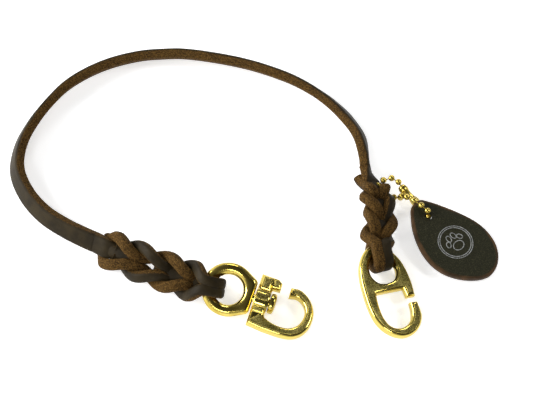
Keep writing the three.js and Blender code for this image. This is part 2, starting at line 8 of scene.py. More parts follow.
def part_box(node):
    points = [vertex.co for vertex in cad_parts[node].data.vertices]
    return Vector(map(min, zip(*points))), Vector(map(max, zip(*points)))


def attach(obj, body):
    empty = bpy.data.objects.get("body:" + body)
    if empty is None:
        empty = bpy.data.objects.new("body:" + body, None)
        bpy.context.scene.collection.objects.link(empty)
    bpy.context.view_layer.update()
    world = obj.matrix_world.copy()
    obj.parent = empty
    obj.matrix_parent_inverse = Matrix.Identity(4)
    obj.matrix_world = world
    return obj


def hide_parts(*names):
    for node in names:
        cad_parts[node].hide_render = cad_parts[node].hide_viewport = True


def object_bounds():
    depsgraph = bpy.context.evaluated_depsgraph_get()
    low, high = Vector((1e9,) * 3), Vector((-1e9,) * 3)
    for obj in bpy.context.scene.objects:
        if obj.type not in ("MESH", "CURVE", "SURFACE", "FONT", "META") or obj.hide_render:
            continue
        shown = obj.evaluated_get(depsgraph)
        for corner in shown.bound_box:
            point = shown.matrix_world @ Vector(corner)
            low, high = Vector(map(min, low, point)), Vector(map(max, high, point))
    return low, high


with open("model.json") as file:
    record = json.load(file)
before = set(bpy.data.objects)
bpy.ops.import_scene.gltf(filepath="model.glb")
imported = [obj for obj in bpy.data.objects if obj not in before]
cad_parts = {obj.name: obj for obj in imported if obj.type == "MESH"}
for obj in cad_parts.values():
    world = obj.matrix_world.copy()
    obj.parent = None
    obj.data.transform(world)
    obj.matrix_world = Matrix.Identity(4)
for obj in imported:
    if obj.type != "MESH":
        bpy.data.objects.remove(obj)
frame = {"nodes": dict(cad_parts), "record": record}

cad_box = [[float(x) for x in corner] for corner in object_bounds()]
record = frame["record"]
bpy.ops.object.select_all(action="DESELECT")

# ---------------------------------------------------------------------------------------
# Camera, floor and light. The camera looks down on the lead at 60 degrees from in front.
# The floor is a plain pale sheet, and four soft lamps stand round it as in a small studio.

AIM = Vector((0.00871, -0.00738, -0.0001))
EYE_POINT = AIM + Vector((0, -0.275, 0.47631))
SENSOR_WIDTH = 36
LENS = 74.3
FLOOR_SIZE = 6
FLOOR_DROP = 0.00005  # the sheet lies this far below the lead

camera = bpy.data.objects.new("camera", bpy.data.cameras.new("camera"))
bpy.context.collection.objects.link(camera)
camera.location = EYE_POINT
camera.rotation_euler = (AIM - EYE_POINT).to_track_quat("-Z", "Y").to_euler()
camera.data.sensor_width = SENSOR_WIDTH
camera.data.lens = LENS
camera.data.clip_start = 0.01
bpy.context.scene.camera = camera


def lamp(name, place, width, height, power):
    light = bpy.data.lights.new(name, "AREA")
    light.shape = "RECTANGLE"
    light.size = width
    light.size_y = height
    light.energy = power
    holder = bpy.data.objects.new(name, light)
    holder.location = place
    holder.rotation_euler = (Vector((0, 0, 0)) - Vector(place)).to_track_quat("-Z", "Y").to_euler()
    bpy.context.collection.objects.link(holder)


lamp("lamp_left", (-1.05, 0.1, 0.55), 1.0, 0.45, 17)
lamp("lamp_right", (0.9, 0.1, 0.8), 0.4, 0.2, 4)
lamp("lamp_front", (-0.35, -1.1, 0.9), 0.5, 0.2, 4)
lamp("lamp_back", (0.2, 1.15, 0.85), 0.6, 0.18, 4)

world = bpy.data.worlds.new("studio")
bpy.context.scene.world = world
world.use_nodes = True
bpy.context.scene.view_settings.view_transform = "Standard"
sky = world.node_tree
room = sky.nodes.new("ShaderNodeTexCoord")
parts = sky.nodes.new("ShaderNodeSeparateXYZ")
sky.links.new(room.outputs["Generated"], parts.inputs[0])


def sky_change(along, start, end, first, last):
    change = sky.nodes.new("ShaderNodeMapRange")
    change.inputs["From Min"].default_value = start
    change.inputs["From Max"].default_value = end
    change.inputs["To Min"].default_value = first
    change.inputs["To Max"].default_value = last
    sky.links.new(parts.outputs[along], change.inputs["Value"])
    return change.outputs[0]


both = sky.nodes.new("ShaderNodeMath")
both.operation = "MULTIPLY"
sky.links.new(sky_change("Z", 0.12, 0.7, 1.1, 0.1), both.inputs[0])
sky.links.new(sky_change("X", -0.6, 0.35, 1.6, 0.22), both.inputs[1])
sky.links.new(both.outputs[0], sky.nodes["Background"].inputs["Strength"])
sky.nodes["Background"].inputs["Color"].default_value = (1, 1, 1, 1)

bpy.ops.mesh.primitive_plane_add(size=FLOOR_SIZE, location=(0, 0, cad_box[0][2] - FLOOR_DROP))
floor = bpy.context.object
floor.name = "floor"
bpy.ops.object.transform_apply(location=True)

# ---------------------------------------------------------------------------------------
# Strap: one strip of greased bridle leather, 9.5 by 5 mm, cut from a back. It stands on its
# edge, leaning in, with the dyed grain outside. The cut edges and the flesh side are browner
# and show their fibres.

STRAP_WIDTH = 9.5
STRAP_THICK = 5
STRAP_ROUND = 1.2
STRAP_STEP = 1.3  # between the rings that the strap is drawn through
MIDDLE = Vector((-0.71, 0.38, 0.1))  # the frame's origin, from the numbers below
ROUTE_PARTS = 24  # a route is measured in this many parts between two points
CORNER_PARTS = 4  # faces round each corner of a strip
FLESH_LEVEL = 0.32  # a strip's edge is grain from this share of its thickness above its middle
FLESH_FADE = 2.2
LEATHER_CREASE = math.radians(50)
UP = Vector((0, 0, 1))

# x, y, z in millimetres, and how far the grain face looks up, in degrees
STRAP_ROUTE = [
    (-75.0, -33.8, 5.8, 42),
    (-81.4, -30.6, 5.6, 38),
    (-89.5, -26.2, 5.5, 32),
    (-100.9, -18.3, 5.4, 30),
    (-110.9, -6.8, 5.4, 30),
    (-117.2, 7.3, 5.4, 30),
    (-116.9, 22.3, 5.4, 30),
    (-112.1, 36.2, 5.4, 30),
    (-105.3, 48.4, 5.4, 30),
    (-97.4, 59.0, 5.4, 30),
    (-87.8, 67.0, 5.4, 30),
    (-77.7, 72.8, 5.4, 30),
    (-67.4, 76.7, 5.4, 30),
    (-57.4, 79.1, 5.4, 30),
    (-47.8, 80.0, 5.4, 30),
    (-38.6, 80.3, 5.4, 30),
    (-29.8, 79.4, 5.4, 30),
    (-21.3, 77.9, 5.4, 30),
    (-12.9, 76.1, 5.4, 30),
    (-4.5, 73.9, 5.4, 30),
    (4.0, 71.1, 5.4, 30),
    (12.8, 67.5, 5.4, 30),
    (22.0, 63.0, 5.4, 30),
    (31.2, 56.9, 5.4, 30),
    (40.3, 49.2, 5.4, 32),
    (48.7, 39.4, 5.4, 34),
    (55.3, 27.6, 5.4, 28),
    (57.3, 14.2, 5.4, 8),
    (57.9, 7.3, 5.6, 14),
]


def on_curve(points, spot):
    """The smooth curve through the points: its place and direction at a whole or part number."""
    last = len(points) - 1
    low = min(max(int(spot), 0), last - 1)
    part = spot - low
    p1 = points[low]
    p2 = points[low + 1]
    p0 = points[low - 1] if low else 2 * p1 - p2
    p3 = points[low + 2] if low + 2 <= last else 2 * p2 - p1
    gap = (p2 - p1).length ** 0.5
    before = (p1 - p0).length ** 0.5
    after = (p3 - p2).length ** 0.5
    lead = (p1 - p0) / before - (p2 - p0) / (before + gap) + (p2 - p1) / gap
    trail = (p2 - p1) / gap - (p3 - p1) / (gap + after) + (p3 - p2) / after
    lead *= gap
    trail *= gap
    square = -3 * p1 + 3 * p2 - 2 * lead - trail
    cube = 2 * p1 - 2 * p2 + lead + trail
    place = p1 + part * (lead + part * (square + part * cube))
    along = lead + part * (2 * square + 3 * part * cube)
    return place, along.normalized()


class Route:
    """A smooth curve that is walked by distance."""

    def __init__(self, points):
        self.points = points
        count = ROUTE_PARTS * (len(points) - 1)
        self.spots = [i / ROUTE_PARTS for i in range(count + 1)]
        self.reached = [0]
        last = points[0]
        for spot in self.spots[1:]:
            place = on_curve(points, spot)[0]
            self.reached.append(self.reached[-1] + (place - last).length)
            last = place
        self.length = self.reached[-1]

    def spot(self, distance):
        distance = min(max(distance, 0), self.length)
        low = 0
        high = len(self.reached) - 1
        while high - low > 1:
            middle = (low + high) // 2
            if self.reached[middle] <= distance:
                low = middle
            else:
                high = middle
        step = self.reached[high] - self.reached[low]
        part = (distance - self.reached[low]) / step if step else 0
        return self.spots[low] + part * (self.spots[high] - self.spots[low])


def between(values, spot):
    low = min(max(int(spot), 0), len(values) - 2)
    return values[low] + (values[low + 1] - values[low]) * (spot - low)


def grain_normal(along, look_up, side=1):
    out = UP.cross(along).normalized() * side
    angle = math.radians(look_up)
    return out * math.cos(angle) + UP * math.sin(angle)


def strip_section(width, thick, rounding):
    """Points round a strip's edge: across, out of the grain face, and how far it is flesh."""
    points = []
    for corner, (x, y) in enumerate([(1, 1), (-1, 1), (-1, -1), (1, -1)]):
        for i in range(CORNER_PARTS + 1):
            angle = math.radians(90 * corner + 90 * i / CORNER_PARTS)
            across = x * (width / 2 - rounding) + rounding * math.cos(angle)
            out = y * (thick / 2 - rounding) + rounding * math.sin(angle)
            flesh = 0.5 + (thick * FLESH_LEVEL - out) / thick * FLESH_FADE
            points.append((across, out, min(max(flesh, 0), 1)))
    return points


class Strip:
    """Collects swept strips of leather and makes one piece of them."""

    def __init__(self):
        self.verts = []
        self.faces = []
        self.flesh = []
        self.lay = []

    def sweep(self, rings, section, tapers=False):
        """rings: place, across, direction and distance along, in millimetres"""
        first = len(self.verts)
        count = len(section)
        for place, across, along, distance in rings:
            across = across - along * across.dot(along)
            if not tapers:
                across.normalize()
            out = along.cross(across)
            for index, (x, y, flesh) in enumerate(section):
                self.verts.append((place + across * x + out * y) / 1000)
                self.flesh.append(flesh)
                self.lay.append((x, y, distance))
        for ring in range(len(rings) - 1):
            for i in range(count):
                a = first + ring * count + i
                b = first + ring * count + (i + 1) % count
                self.faces.append((a, b, b + count, a + count))
        self.faces.append(tuple(reversed(range(first, first + count))))
        self.faces.append(tuple(range(len(self.verts) - count, len(self.verts))))

    def piece(self, name, lowest=None):
        if lowest is not None:
            for vert in self.verts:
                vert.z = max(vert.z, lowest)
        mesh = bpy.data.meshes.new(name)
        mesh.from_pydata(self.verts, [], self.faces)
        flesh = mesh.attributes.new("flesh", "FLOAT", "POINT")
        flesh.data.foreach_set("value", self.flesh)
        lay = mesh.attributes.new("lay", "FLOAT_VECTOR", "POINT")
        lay.data.foreach_set("vector", [x for triple in self.lay for x in triple])
        obj = bpy.data.objects.new(name, mesh)
        bpy.context.collection.objects.link(obj)
        bpy.ops.object.select_all(action="DESELECT")
        obj.select_set(True)
        bpy.context.view_layer.objects.active = obj
        bpy.ops.object.shade_smooth_by_angle(angle=LEATHER_CREASE)
        return obj


class Value:
    """What comes out of one of a material's nodes, for use in sums."""

    def __init__(self, surface, socket):
        self.surface = surface
        self.socket = socket

    def maths(self, operation, first, second):
        return self.surface.node("ShaderNodeMath", {"operation": operation}, {0: first, 1: second})

    def __add__(self, other):
        return self.maths("ADD", self, other)

    def __radd__(self, other):
        return self.maths("ADD", other, self)

    def __sub__(self, other):
        return self.maths("SUBTRACT", self, other)

    def __rsub__(self, other):
        return self.maths("SUBTRACT", other, self)

    def __mul__(self, other):
        return self.maths("MULTIPLY", self, other)

    def __rmul__(self, other):
        return self.maths("MULTIPLY", other, self)


class Surface:
    """A material, its main shader and the nodes that feed it."""

    def __init__(self, name, **constants):
        self.material = bpy.data.materials.new(name)
        self.material.use_nodes = True
        self.tree = self.material.node_tree
        self.shader = self.tree.nodes["Principled BSDF"]
        for socket, value in constants.items():
            self.shader.inputs[socket.replace("_", " ")].default_value = value
        self.place = self.node("ShaderNodeTexCoord", output="Object")

    def node(self, kind, settings=None, sockets=None, output=0):
        node = self.tree.nodes.new(kind)
        for key, value in (settings or {}).items():
            setattr(node, key, value)
        for key, value in (sockets or {}).items():
            if isinstance(value, Value):
                self.tree.links.new(value.socket, node.inputs[key])
            else:
                node.inputs[key].default_value = value
        return Value(self, node.outputs[output])

    def noise(self, scale, detail=3, place=None, rough=0.5):
        sockets = {"Vector": place or self.place, "Scale": scale, "Detail": detail, "Roughness": rough}
        return self.node("ShaderNodeTexNoise", {}, sockets)

    def ramp(self, value, low, high):
        sockets = {"Value": value, "From Min": low, "From Max": high}
        return self.node("ShaderNodeMapRange", {"interpolation_type": "SMOOTHSTEP"}, sockets)

    def mix(self, mask, first, second):
        # a Mix node's colours are its sockets 6 and 7, and the mixed colour is its output 2
        return self.node("ShaderNodeMix", {"data_type": "RGBA"}, {0: mask, 6: first, 7: second}, 2)

    def stretch(self, place, scale):
        return self.node("ShaderNodeMapping", {}, {"Vector": place, "Scale": scale})

    def attribute(self, name, output="Fac"):
        return self.node("ShaderNodeAttribute", {"attribute_name": name}, {}, output)

    def put(self, socket, value):
        self.tree.links.new(value.socket, self.shader.inputs[socket])

    def bump(self, height, distance, strength=1.0):
        sockets = {"Height": height, "Distance": distance, "Strength": strength}
        self.put("Normal", self.node("ShaderNodeBump", {}, sockets))


GRAIN_DARK = (0.016, 0.0112, 0.0045, 1)
GRAIN_LIGHT = (0.030, 0.021, 0.0085, 1)
FLESH_DARK = (0.015, 0.0072, 0.001, 1)
FLESH_MIDDLE = (0.034, 0.017, 0.0028, 1)
FLESH_LIGHT = (0.165, 0.088, 0.022, 1)

leather = Surface("bridle_leather", Specular_IOR_Level=0.09)
lay = leather.attribute("lay", "Vector")
fibres = leather.noise(1.9, 6, leather.stretch(lay, (1, 1, 0.4)), 0.7)
nap = leather.noise(1700, 3, rough=0.65)
pores = leather.noise(2200, 2)
patches = leather.noise(130, 4)
fleshy = leather.ramp(leather.attribute("flesh") + fibres * 0.4 + patches * 0.3, 0.62, 1.02)
grain_tone = leather.mix(leather.ramp(patches, 0.35, 0.7), GRAIN_DARK, GRAIN_LIGHT)
dark_flesh = leather.mix(leather.ramp(patches, 0.3, 0.7), FLESH_DARK, FLESH_MIDDLE)
speckle = leather.ramp(fibres * 0.4 + nap * 0.6, 0.39, 0.66)
flesh_tone = leather.mix(speckle, dark_flesh, FLESH_LIGHT)
leather.put("Base Color", leather.mix(fleshy, grain_tone, flesh_tone))
leather.put("Roughness", 0.46 + fleshy * 0.3 + pores * 0.1)
leather.bump(pores * 0.2 + (fibres + nap) * fleshy * 0.9, 0.0005, 0.9)

strap_route = Route([Vector(row[:3]) - MIDDLE for row in STRAP_ROUTE])
strap_guides = []
for index, row in enumerate(STRAP_ROUTE):
    direction = on_curve(strap_route.points, index)[1]
    strap_guides.append(grain_normal(direction, row[3]).cross(direction))

strap = Strip()
steps = round(strap_route.length / STRAP_STEP)
strap_rings = []
for step in range(steps + 1):
    distance = strap_route.length * step / steps
    spot = strap_route.spot(distance)
    place, direction = on_curve(strap_route.points, spot)
    strap_rings.append((place, between(strap_guides, spot), direction, distance))
strap.sweep(strap_rings, strip_section(STRAP_WIDTH, STRAP_THICK, STRAP_ROUND))
strap_piece = strap.piece("leather_strap")
strap_piece.data.materials.append(leather.material)
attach(strap_piece, "lead")
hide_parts("strap")
strap_path = [ring[0] / 1000 for ring in strap_rings]

# ---------------------------------------------------------------------------------------
# Splices: each end of the strip is slit in two, folded round its fitting, and its tail and
# the standing strap are passed through each other's slits. Four Vs show at the front, the
# browner flesh of the tail turn about with the dark grain of the standing strap.

LEAD_IN = 11
PAST_BAR = 12
TAIL_TAB = 9
TAIL_DROP = 4.9
LOOP_SAMPLES = 6
BIGHT_RADIUS = 5.7
BIGHT_HALF = 2.05
STRAND_WIDTH = 5.5
STRAND_THICK = 4.7
STRAND_ROUND = 1.7
STRAND_STEP = 0.8
ROLL_EASE = 8
ROLL_PAST = 4  # a strand is rolled until this far past the last V
ROLLED_FLESH = 0.25  # how much less fleshy the hidden side of a rolled strand is
CORE_WIDTH = 6
CORE_THICK = 3.4
CORE_PARTS = 12
TAIL_PARTS = 4
LOOK = 0.5  # a direction is taken between places this far apart
STUB_FLAT = -4  # the strap starts to dive between the strands here
STUB_DIVE = 0.3
STUB_TAPER = 0.04
STUB_TUCK = 1.5
STUB_RINGS = 15
STUB_STEP = 1.25
STUB_SHRINK = 0.1  # the stub is this much smaller than the strap that covers its end
FLOOR = 0.00004


class SpliceAxis:
    """The middle of a splice, from the strap's end to past the fitting's bar."""

    def __init__(self, stations, bar, forward, normal):
        points = []
        self.normals = []
        for x, y, z, heading, look_up, side in stations:
            points.append(Vector((x, y, z)) - MIDDLE)
            level = Vector((math.cos(math.radians(heading)), math.sin(math.radians(heading)), 0))
            self.normals.append(grain_normal(level, look_up, side))
        points += [bar, bar + forward * PAST_BAR]
        self.normals += [normal, normal]
        self.route = Route(points)
        self.length = self.route.length - PAST_BAR - LEAD_IN

    def place(self, s, across, through):
        spot = self.route.spot(s + LEAD_IN)
        place, along = on_curve(self.route.points, spot)
        normal = between(self.normals, spot)
        normal = (normal - along * normal.dot(along)).normalized()
        side = normal.cross(along)
        return place + side * across + normal * through, side


def ease(share):
    return (1 - math.cos(math.pi * share)) / 2


class Splice:
    """The routes of one splice's strands."""

    def __init__(self, axis, vees, slack, middle, reach, lift, filled, widths, early, rolls, turned=()):
        self.axis = axis
        self.vees = vees
        self.slack = slack
        self.middle = middle
        self.reach = reach
        self.lift = lift
        self.filled = filled  # stretches where the strands close up on each other
        self.widths = widths  # how far out each V reaches on each side, as a share
        self.early = early  # how much sooner the tail turns on each side
        self.rolls = rolls  # how far the standing strand rolls its inner edge up, in degrees
        self.turned = turned  # sides whose standing strand has rolled flesh side out

    def loop(self, side, count, lag):
        low = min(int(count), len(self.vees) - 2)
        s = self.vees[low] + (self.vees[low + 1] - self.vees[low]) * (count - low)
        turn = math.pi * (count + lag)
        across = between(self.widths[side], count) * (self.middle + self.reach * math.cos(turn))
        return s, across, self.lift * math.sin(turn)

    def bight(self, angle):
        turn = math.radians(angle)
        past = self.slack + BIGHT_RADIUS * math.sin(turn)
        return self.axis.length + past, BIGHT_HALF, BIGHT_RADIUS * math.cos(turn)

    def standing(self, side):
        last = len(self.vees) - 1
        route = [self.loop(side, i / LOOP_SAMPLES, 1) for i in range(LOOP_SAMPLES * last + 1)]
        for i in range(1, LOOP_SAMPLES):
            share = i / LOOP_SAMPLES
            s = self.vees[last] + (self.axis.length - self.vees[last]) * share
            wide = self.widths[side][last] * (self.middle + self.reach)
            across = wide + (BIGHT_HALF - wide) * ease(share)
            route.append((s, across, BIGHT_RADIUS * math.sin(share * math.pi / 2)))
        return route + [self.bight(angle) for angle in range(0, 101, 20)]

    def tail(self, side):
        last = len(self.vees) - 1
        route = [self.bight(angle) for angle in range(80, 181, 20)]
        for i in range(LOOP_SAMPLES - 1, 0, -1):
            share = i / LOOP_SAMPLES
            s = self.vees[last] + (self.axis.length - self.vees[last]) * share
            narrow = self.widths[side][last] * (self.middle - self.reach)
            across = narrow + (BIGHT_HALF - narrow) * share
            route.append((s, across, -BIGHT_RADIUS * math.sin(share * math.pi / 2)))
        route += [self.loop(side, i / LOOP_SAMPLES, 0) for i in range(LOOP_SAMPLES * last, -1, -1)]
        for i in range(1, TAIL_PARTS + 1):
            share = i / TAIL_PARTS
            across = self.widths[side][0] * (self.middle + self.reach - 2 * self.reach * ease(share))
            route.append((-TAIL_TAB * share, across, -TAIL_DROP * math.sin(share * math.pi / 2)))
        return route

    def strand(self, strip, stops, side, section, early=0, roll=0):
        placed = []
        rolls = []
        for s, across, through in stops:
            shift = early * min(max(1 - s / self.vees[1], 0), 1)
            placed.append(self.axis.place(s - shift, side * across, through))
            rolls.append(math.radians(roll) * min(max((self.vees[-1] + ROLL_PAST - s) / ROLL_EASE, 0), 1))
        route = Route([place for place, across in placed])
        guides = [across for place, across in placed]
        steps = round(route.length / STRAND_STEP)
        rings = []
        for step in range(steps + 1):
            distance = route.length * step / steps
            spot = route.spot(distance)
            place, along = on_curve(route.points, spot)
            across = Matrix.Rotation(between(rolls, spot), 3, along) @ between(guides, spot)
            rings.append((place, across, along, distance))
        strip.sweep(rings, section)

    def piece(self, name):
        strip = Strip()
        rings = []
        for step in range(STUB_RINGS):
            s = -LEAD_IN + step * STUB_STEP
            sink = max(s - STUB_FLAT, 0)
            place, across = self.axis.place(s, 0, -sink * STUB_DIVE)
            ahead = self.axis.place(s + LOOK, 0, 0)[0]
            behind = self.axis.place(max(s - LOOK, -LEAD_IN), 0, 0)[0]
            rings.append((place, across * (1 - sink * STUB_TAPER), (ahead - behind).normalized(), s))
        first = rings[0]
        rings.insert(0, (first[0] - first[2] * STUB_TUCK, first[1], first[2], first[3] - STUB_TUCK))
        stub = strip_section(STRAP_WIDTH - STUB_SHRINK, STRAP_THICK - STUB_SHRINK, STRAP_ROUND)
        strip.sweep(rings, stub, tapers=True)
        core = strip_section(CORE_WIDTH, CORE_THICK, CORE_THICK / 2.2)
        for start, end in self.filled:
            rings = []
            for step in range(CORE_PARTS + 1):
                s = start + (end - start) * step / CORE_PARTS
                place, across = self.axis.place(s, 0, 0)
                ahead = self.axis.place(s + LOOK, 0, 0)[0]
                rings.append((place, across, (ahead - place).normalized(), s))
            strip.sweep(rings, core)
        section = strip_section(STRAND_WIDTH, STRAND_THICK, STRAND_ROUND)
        rolled = [(x, y, 1 - ROLLED_FLESH * flesh) for x, y, flesh in section]
        for side in (1, -1):
            face = rolled if side in self.turned else section
            self.strand(strip, self.standing(side), side, face, roll=-side * self.rolls[side])
            self.strand(strip, self.tail(side), side, section, self.early[side])
        return strip.piece(name, FLOOR)


joints = {joint["name"]: joint for joint in record["behaviour"]["joints"]}
mounts = {mount["name"]: mount for mount in record["mounts"]}


def joint_place(name):
    return Vector(joints[name]["pos_m"]) * 1000


def joint_axis(name):
    return Vector(joints[name]["axis"]).normalized()


PIN_TO_MIDDLE = 16.4
pin_axis = joint_axis("hook_swivel")
eye_centre = joint_place("hook_swivel") - pin_axis * PIN_TO_MIDDLE
left_bar = joint_place("eye_tilt")
to_eye = (eye_centre - left_bar).normalized()
eye_normal = to_eye.cross(joint_axis("eye_tilt")).normalized()

left_axis = SpliceAxis([
    (-74.3, -34.1, 5.85, -26, 42, -1),
    (-64.7, -39.9, 7.4, -22, 56, -1),
    (-39.5, -51.2, 8.4, -20, 64, -1),
], left_bar, to_eye, eye_normal)
left_piece = Splice(
    left_axis, vees=[0, 12.9, 28, 41], slack=0.4, middle=4.7, reach=2.5, lift=2.45,
    filled=[(-3, 13.5), (22, 45)], widths={1: [1, 1, 1, 1], -1: [1, 1, 1, 1]},
    early={1: 0, -1: 3.5}, rolls={1: 0, -1: 34},
).piece("left_braid")
left_piece.data.materials.append(leather.material)
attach(left_piece, "lead")
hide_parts("left_splice")

CLIP_BAR_X = -19.7
CLIP_BIGHT_Y = 1.4
clip_z = Vector(mounts["clip_face"]["axis"]).normalized()
clip_y = joint_axis("clip_tilt")
clip_x = clip_y.cross(clip_z).normalized()
right_bar = joint_place("clip_tilt")

right_axis = SpliceAxis([
    (58.1, 5.9, 5.6, -76, 15, 1),
    (61.4, -6.2, 8.4, -76, 70, 1),
    (63.8, -21, 8.2, -90, 64, 1),
], right_bar + clip_y * CLIP_BIGHT_Y, clip_x, clip_z)
right_piece = Splice(
    right_axis, vees=[0, 6.5, 18, 29.5], slack=2.5, middle=4.5, reach=2.3, lift=2.4,
    filled=[(-3, 32)], widths={1: [0.8, 0.9, 0.86, 0.74], -1: [0.52, 1, 0.92, 0.95]},
    early={1: 0, -1: 0}, rolls={1: 30, -1: 0}, turned=(-1,),
).piece("right_braid")
right_piece.data.materials.append(leather.material)
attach(right_piece, "lead")
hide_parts("right_splice")

# ---------------------------------------------------------------------------------------
# Swivel eye: one brass casting, a ring drawn out on one side to a flat-ended boss, which is
# drilled for the swivel pin. It is polished all round, and the left braid's fold holds it.

EYE_RADIUS = 9.9
EYE_BAR = 2.85
EYE_END = 12.3
EYE_SHOULDER = 7.9
BOSS_START = math.radians(62)
BOSS_EASE = math.radians(30)
CORNER_BLEND = math.radians(2.5)
BOSS_SQUARE = 0.5  # how much squarer than round the boss is in section
BORE_RADIUS = 2.3
BORE_START = 8.6
BORE_END = 16

polished = Surface("polished_brass", Metallic=1.0)
smudges = polished.noise(140, 4)
hairlines = polished.noise(900, 4, polished.stretch(polished.place, (1, 1, 0.2)))
warm = polished.ramp(smudges, 0.35, 0.7)
polished.put("Base Color", polished.mix(warm, (0.68, 0.53, 0.125, 1), (0.44, 0.33, 0.055, 1)))
polished.put("Roughness", 0.11 + smudges * 0.12 + hairlines * 0.05)
polished.bump(hairlines, 0.00004, 0.3)

# Cast brass: the flat faces get a grained satin cast finish, and their colour is also painted darker as
# shade, standing in for the dark reflections on them.
cast = Surface("cast_brass", Metallic=1.0)
grit = cast.noise(1900, 3, rough=0.7)
tarnish = cast.noise(160, 4)
# This mask picks the flat faces. It sets their real satin grain and roughness, and also the painted shade
# in their colour. The rounded edges keep the polished colour.
cast_face_and_shade = cast.ramp(cast.attribute("face") + (grit - 0.5) * 0.03, 0.955, 0.985)
face_tone = cast.mix(cast.ramp(grit + tarnish * 0.5, 0.6, 0.95), (0.065, 0.052, 0.009, 1),
                     (0.38, 0.32, 0.10, 1))
cast.put("Base Color", cast.mix(cast_face_and_shade, (0.66, 0.52, 0.12, 1), face_tone))
cast.put("Roughness", 0.07 + cast_face_and_shade * 0.27 + tarnish * 0.08)
cast.bump(grit * cast_face_and_shade, 0.0005, 0.8)


def only(obj):
    bpy.ops.object.select_all(action="DESELECT")
    obj.select_set(True)
    bpy.context.view_layer.objects.active = obj


def edit(obj, mode="VERT"):
    only(obj)
    bpy.ops.object.mode_set(mode="EDIT")
    bpy.ops.mesh.select_mode(type=mode)
    bpy.ops.mesh.select_all(action="SELECT")


def clean(obj):
    edit(obj)
    bpy.ops.mesh.remove_doubles(threshold=0.00001)
    bpy.ops.mesh.normals_make_consistent(inside=False)
    bpy.ops.object.mode_set(mode="OBJECT")


def through(start, *parts):
    """An outline in millimetres: single corners, and lists that a smooth curve goes through."""
    points = [Vector((*start, 0))]
    for part in parts:
        if isinstance(part, list):
            knots = [points[-1]] + [Vector((*knot, 0)) for knot in part]
            count = 6 * (len(knots) - 1)
            points += [on_curve(knots, i / 6)[0] for i in range(1, count + 1)]
        else:
            points.append(Vector((*part, 0)))
    return points


def plate(name, lines, thick, rounding):
    """Flat plate with rounded edges, drawn as closed outlines and made a mesh."""
    curve = bpy.data.curves.new(name, "CURVE")
    curve.dimensions = "2D"
    curve.fill_mode = "BOTH"
    curve.extrude = (thick / 2 - rounding) / 1000
    curve.bevel_depth = rounding / 1000
    curve.bevel_resolution = 5
    curve.offset = -rounding / 1000
    for line in lines:
        spline = curve.splines.new("POLY")
        spline.points.add(len(line) - 1)
        for point, place in zip(spline.points, line):
            point.co = (place.x / 1000, place.y / 1000, 0, 1)
        spline.use_cyclic_u = True
    obj = bpy.data.objects.new(name, curve)
    bpy.context.collection.objects.link(obj)
    only(obj)
    bpy.ops.object.convert(target="MESH")
    obj = bpy.context.object
    clean(obj)
    edit(obj, "FACE")
    bpy.ops.mesh.select_all(action="DESELECT")
    bpy.ops.object.mode_set(mode="OBJECT")
    for polygon in obj.data.polygons:
        polygon.select = abs(polygon.normal.z) > 0.999
    bpy.ops.object.mode_set(mode="EDIT")
    bpy.ops.mesh.inset(thickness=0.0001)
    bpy.ops.object.mode_set(mode="OBJECT")
    return obj


def lathe(name, profile, steps=64, angle=360, axis=(1, 0, 0)):
    """Turned part about the x axis, from pairs of distance along and radius in millimetres."""
    verts = [(along / 1000, radius / 1000, 0) for along, radius in profile]
    mesh = bpy.data.meshes.new(name)
    mesh.from_pydata(verts, [(i, i + 1) for i in range(len(verts) - 1)], [])
    obj = bpy.data.objects.new(name, mesh)
    bpy.context.collection.objects.link(obj)
    edit(obj)
    bpy.ops.mesh.spin(steps=steps, angle=math.radians(angle), center=(0, 0, 0), axis=axis)
    bpy.ops.object.mode_set(mode="OBJECT")
    clean(obj)
    return obj


def joined(obj, *others):
    bpy.ops.object.select_all(action="DESELECT")
    for other in (obj, *others):
        other.select_set(True)
    bpy.context.view_layer.objects.active = obj
    bpy.ops.object.join()
    return obj


def modify(obj, kind, **settings):
    only(obj)
    modifier = obj.modifiers.new(kind.lower(), kind)
    for key, value in settings.items():
        setattr(modifier, key, value)
    bpy.ops.object.modifier_apply(modifier=modifier.name)


def cut(obj, tool, operation="DIFFERENCE"):
    modify(obj, "BOOLEAN", operation=operation, object=tool, solver="EXACT")
    bpy.data.objects.remove(tool)


def settle(obj, origin, x, z, material, smooth=35):
    """Puts a finished piece in its place, and marks how flat to its plate each point lies."""
    y = z.cross(x).normalized()
    z = x.cross(y).normalized()
    if obj.data.attributes.get("face"):
        obj.data.attributes.remove(obj.data.attributes["face"])
    face = obj.data.attributes.new("face", "FLOAT", "POINT")
    face.data.foreach_set("value", [abs(vert.normal.z) for vert in obj.data.vertices])
    turn = Matrix((x, y, z)).transposed().to_4x4()
    obj.data.transform(Matrix.Translation(origin / 1000) @ turn)
    obj.data.materials.clear()
    obj.data.materials.append(material)
    only(obj)
    bpy.ops.object.shade_smooth_by_angle(angle=math.radians(smooth))


def outer_reach(angle):
    """How far the eye's outside lies from its middle: a ring, drawn out to a flat-ended boss."""
    turn = abs(angle)
    ring = EYE_RADIUS + EYE_BAR
    corner = Vector((EYE_END, EYE_SHOULDER))
    start = Vector((ring * math.cos(BOSS_START), ring * math.sin(BOSS_START)))
    if turn > BOSS_START:
        return ring
    if turn < math.atan2(corner.y, corner.x):
        return EYE_END / math.cos(turn)
    run = corner - start
    return (start.x * run.y - start.y * run.x) / (math.cos(turn) * run.y - math.sin(turn) * run.x)


